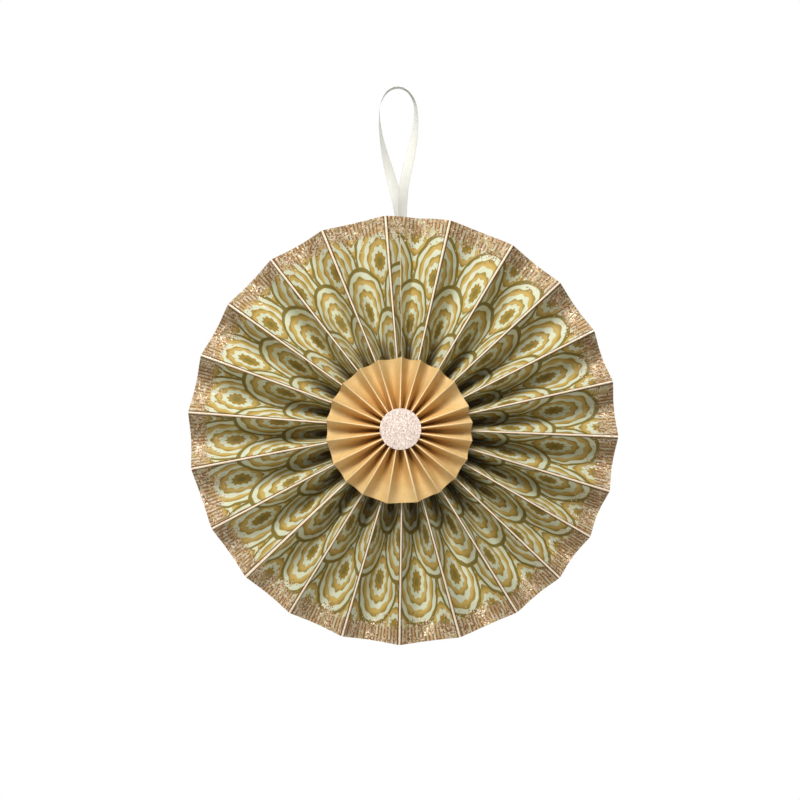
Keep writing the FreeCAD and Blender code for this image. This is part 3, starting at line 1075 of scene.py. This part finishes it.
# %% Fold the kraft fan
SMALL_FLAP = 0.20
KRAFT_FOLDS = 2 * len(small.pleats)
kraft_stations = (
    panel_stations(small, 0, (SEAM_START,) + PANEL_SHARES[1:])
    + folds_and_panels(small, 1, KRAFT_FOLDS - 1)
    + panel_stations(small, KRAFT_FOLDS - 1)
    + tip_stations(small, KRAFT_FOLDS, point=wrapped_point)
    + panel_stations(small, KRAFT_FOLDS, (FLAP_MIDDLE * SMALL_FLAP, SMALL_FLAP), layers=1)
)
kraft = fold_strip(
    "kraft_fan_folded",
    small,
    kraft_stations,
    radii_of(small, glued_steps=3, free_steps=18),
    (kraft_finish, kraft_finish, kraft_edge),
)
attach(kraft, "root")
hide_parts("kraft_fan")

# %% [markdown]
# ## The card discs
#
# Three discs are punched from card. The punch rounds the edge on the side that it enters and
# leaves it sharp on the other. Each one starts as a cylinder on its CAD node's place, and its
# front edge is bevelled.

# %% Punch a disc
DISC_SIDES = 128
DISC_SMOOTH_UNDER = math.radians(40)


def punched_disc(name, node, material, rounding):
    low, high = (Vector(corner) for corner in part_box(node))
    middle = (low + high) / 2
    bpy.ops.object.select_all(action="DESELECT")
    bpy.ops.mesh.primitive_cylinder_add(
        vertices=DISC_SIDES,
        radius=(high.x - low.x) / 2,
        depth=high.y - low.y,
        location=middle,
        rotation=(math.pi / 2, 0, 0),
    )
    disc = bpy.context.object
    disc.name = name
    disc.data.name = name
    bpy.ops.object.transform_apply(location=True, rotation=True, scale=True)
    bpy.ops.object.mode_set(mode="EDIT")
    bpy.ops.mesh.select_all(action="DESELECT")
    bpy.ops.object.mode_set(mode="OBJECT")
    for edge in disc.data.edges:
        ends = [disc.data.vertices[index].co for index in edge.vertices]
        edge.select = all(end.y < middle.y for end in ends)
    bpy.ops.object.mode_set(mode="EDIT")
    bpy.ops.mesh.select_mode(type="EDGE")
    bpy.ops.mesh.bevel(offset=rounding, segments=3, profile=0.6)
    bpy.ops.object.mode_set(mode="OBJECT")
    disc.data.materials.append(material)
    bpy.ops.object.shade_smooth_by_angle(angle=DISC_SMOOTH_UNDER)
    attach(disc, "root")
    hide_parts(node)
    print(f"{name}: {(high.x - low.x) / MM:.1f} mm across, {(high.y - low.y) / MM:.2f} mm thick")
    return disc


print("a disc has", DISC_SIDES, "sides")

# %% [markdown]
# The glitter card is covered all over with flakes of pale rose and white foil in two sizes. The
# plain card is grey-white pulp with darker fibres.

# %% Glitter card and plain card
GLITTER_PALE = colour(232, 218, 207)
GLITTER_ROSE = colour(209, 185, 170)
GLITTER_DARK = colour(184, 151, 134)
FINE_FLAKE, COARSE_FLAKE = 0.55, 1.3
CARD_FLAKE_TILT = 0.7
CARD_PALE = colour(226, 220, 204)
CARD_DARK = colour(196, 188, 170)
CARD_CLOUD = colour(236, 231, 218)
PULP_GRAIN, CLOUD_GRAIN = 0.8, 7.0


def glitter_card():
    material, tree, surface = start_material("glitter_card_finish")
    place = object_place(tree)
    fine = flakes(tree, place, FINE_FLAKE)
    coarse = flakes(tree, place, COARSE_FLAKE)
    red, green, blue = split(tree, fine)
    coarse_red, _, _ = split(tree, coarse)
    face = blend(tree, ramp(tree, red, 0.2, 0.8), GLITTER_ROSE, GLITTER_PALE)
    face = blend(tree, ramp(tree, green, 0.86, 0.95), face, GLITTER_DARK)
    face = blend(tree, times(tree, coarse_red, 0.3), face, GLITTER_PALE)
    tree.links.new(face, surface.inputs["Base Color"])
    surface.inputs["Metallic"].default_value = 0.25
    tree.links.new(pick(tree, blue, 0.3, 0.6), surface.inputs["Roughness"])
    relief(tree, surface, blue, 0.06 * MM, tilted(tree, fine, CARD_FLAKE_TILT))
    return material


def plain_card():
    material, tree, surface = start_material("plain_card_finish")
    place = object_place(tree)
    pulp = noise(tree, place, PULP_GRAIN, 6.0, 0.8)
    cloud = noise(tree, place, CLOUD_GRAIN)
    face = blend(tree, ramp(tree, pulp, 0.38, 0.68), CARD_PALE, CARD_DARK)
    face = blend(tree, times(tree, cloud, 0.3), face, CARD_CLOUD)
    coat(tree, surface, face, roughness=0.9, specular=0.15)
    relief(tree, surface, pulp, 0.05 * MM)
    return material


glitter_finish = glitter_card()
card_finish = plain_card()
print("card finishes are ready")

# %% Punch the three discs
glitter_disc = punched_disc("glitter_disc_punched", "glitter_disc", glitter_finish, 0.15 * MM)
for node in ("back_disc", "front_disc"):
    punched_disc(f"{node}_punched", node, card_finish, 0.2 * MM)

# %% [markdown]
# ## The ribbon
#
# The loop is one length of satin ribbon, glued by both ends behind the top pleat. It is a flat
# cord: its route is a given list of points, and a NURBS spline through them is its
# line. The band then follows that line. Its width lies along the paper where it comes out and
# turns edge-on towards the top, as a real flat ribbon does when it is bent back on itself.

# %% The ribbon's route
RIBBON_WIDTH = 6.4 * MM
RIBBON_THICKNESS = 0.2 * MM
RIBBON_ROUTE = [
    (-1.60, -10.63, 116.00), (-1.80, -10.71, 126.00), (-2.60, -10.64, 139.00),
    (-5.60, -10.64, 153.00), (-9.90, -10.64, 168.00), (-13.30, -10.64, 182.50),
    (-15.10, -10.64, 197.00), (-14.60, -10.64, 209.00), (-8.20, -10.64, 217.70),
    (1.40, -10.40, 217.90), (7.90, -10.40, 209.60), (8.80, -10.40, 198.20),
    (7.30, -10.40, 185.50), (4.30, -10.40, 171.50), (0.90, -10.40, 157.50),
    (-0.30, -10.40, 143.00), (-0.40, -10.29, 128.00), (-1.00, -10.60, 116.00),
]
route = [Vector(point) * MM for point in RIBBON_ROUTE]


def spline_through(points):
    """Reads the smooth line that a NURBS spline makes of the route's points."""
    line = bpy.data.curves.new("ribbon_line", "CURVE")
    line.dimensions = "3D"
    line.resolution_u = 12
    spline = line.splines.new("NURBS")
    spline.points.add(len(points) - 1)
    for point, place in zip(spline.points, points):
        point.co = (*place, 1.0)
    spline.order_u = 3
    spline.use_endpoint_u = True
    holder = bpy.data.objects.new("ribbon_line", line)
    bpy.context.scene.collection.objects.link(holder)
    bpy.context.view_layer.update()
    mesh = bpy.data.meshes.new_from_object(holder)
    read = [vertex.co.copy() for vertex in mesh.vertices]
    bpy.data.objects.remove(holder)
    bpy.data.meshes.remove(mesh)
    return read


ribbon_line = spline_through(route)
ribbon_steps = [(b - a).length for a, b in zip(ribbon_line, ribbon_line[1:])]
print("ribbon line:", len(ribbon_line), "points,", round(sum(ribbon_steps) / MM, 1), "mm")

# %% The band along the route
TWIST_FROM = large.rim + 8.0 * MM
TWIST_TO = large.rim + 83.0 * MM
UP_EASE, DOWN_EASE = 2.0, 1.1
RIBBON_COLUMNS = 6
RIBBON_CUP = 0.10 * MM


def across_the_ribbon(place, direction):
    """The width turns from the paper's slant at the rim to edge-on, sooner on the way up."""
    slope = panel_slope(large, ALL_FOLDS - 1, min(math.hypot(place.x, place.z), large.rim))
    at_the_paper = -math.atan(slope)
    left = min(max((TWIST_TO - place.z) / (TWIST_TO - TWIST_FROM), 0.0), 1.0)
    edge_on = -math.copysign(math.pi / 2, at_the_paper)
    ease = UP_EASE if direction.z > 0 else DOWN_EASE
    turn = edge_on + left**ease * (at_the_paper - edge_on)
    across = Vector((math.cos(turn), -math.sin(turn), 0))
    return (across - direction * across.dot(direction)).normalized()


def ribbon_band():
    last = len(ribbon_line) - 1
    band, places = flat_grid("hanging_ribbon_satin", last, RIBBON_COLUMNS)
    run = [sum(ribbon_steps[:k]) for k in range(last + 1)]
    mesh = band.data
    keep_flat_places(mesh, [(run[k], RIBBON_WIDTH * j / RIBBON_COLUMNS) for k, j in places])
    for vertex, (k, j) in zip(mesh.vertices, places):
        before = ribbon_line[max(k - 1, 0)]
        after = ribbon_line[min(k + 1, last)]
        direction = (after - before).normalized()
        across = across_the_ribbon(ribbon_line[k], direction)
        side = 2 * j / RIBBON_COLUMNS - 1
        cup = direction.cross(across) * RIBBON_CUP * (side**2 - 0.5)
        vertex.co = ribbon_line[k] + across * (side * RIBBON_WIDTH / 2) + cup
    return band


print("the ribbon is cupped by", RIBBON_CUP / MM, "mm")

# %% [markdown]
# Satin floats its threads along the ribbon, so it shines across them, and its two selvedges are
# woven a little tighter. The ribbon is so thin that some light gets through, which a little
# subsurface scattering gives. Its cut edge is plain woven thread with no shine.

# %% Satin
SATIN = colour(209, 208, 202)
SATIN_SHADE = colour(201, 200, 191)
SELVEDGE = colour(195, 193, 183)
RIB_PITCH, FLOAT_PITCH = 0.55, 0.32
SELVEDGE_WIDE, SELVEDGE_NARROW = 0.7, 0.4


def satin():
    material, tree, surface = start_material("satin_finish")
    place, along, across = flat_place(tree)
    half = RIBBON_WIDTH / 2 / MM
    rib = sum_of(tree, "SINE", times(tree, along, FULL_TURN / RIB_PITCH))
    floats = sum_of(tree, "SINE", times(tree, across, FULL_TURN / FLOAT_PITCH))
    off = size_of(tree, minus(tree, across, half))
    selvedge = ramp(tree, off, half - SELVEDGE_WIDE, half - SELVEDGE_NARROW)
    face = blend(tree, noise(tree, place, 3.0), SATIN, SATIN_SHADE)
    face = blend(tree, times(tree, selvedge, 0.6), face, SELVEDGE)
    coat(tree, surface, face, roughness=0.5, specular=0.25)
    surface.inputs["Anisotropic"].default_value = 0.5
    surface.inputs["Sheen Weight"].default_value = 0.1
    surface.inputs["Subsurface Weight"].default_value = 0.5
    surface.inputs["Subsurface Radius"].default_value = (1.0, 1.0, 0.9)
    surface.inputs["Subsurface Scale"].default_value = 0.6 * MM
    weave = plus(tree, times(tree, rib, 0.5), floats)
    relief(tree, surface, plus(tree, weave, selvedge), 0.01 * MM)
    return material


def woven_edge():
    material, tree, surface = start_material("woven_edge_finish")
    place, _, _ = flat_place(tree)
    face = blend(tree, noise(tree, place, 0.8), colour(240, 239, 231), colour(228, 226, 216))
    coat(tree, surface, face, roughness=0.8, specular=0.2)
    return material


ribbon = ribbon_band()
satin_finish = satin()
give_thickness(ribbon, RIBBON_THICKNESS, (satin_finish, satin_finish, woven_edge()))
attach(ribbon, "root")
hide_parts("hanging_ribbon")
print("ribbon:", len(ribbon.data.polygons), "faces")
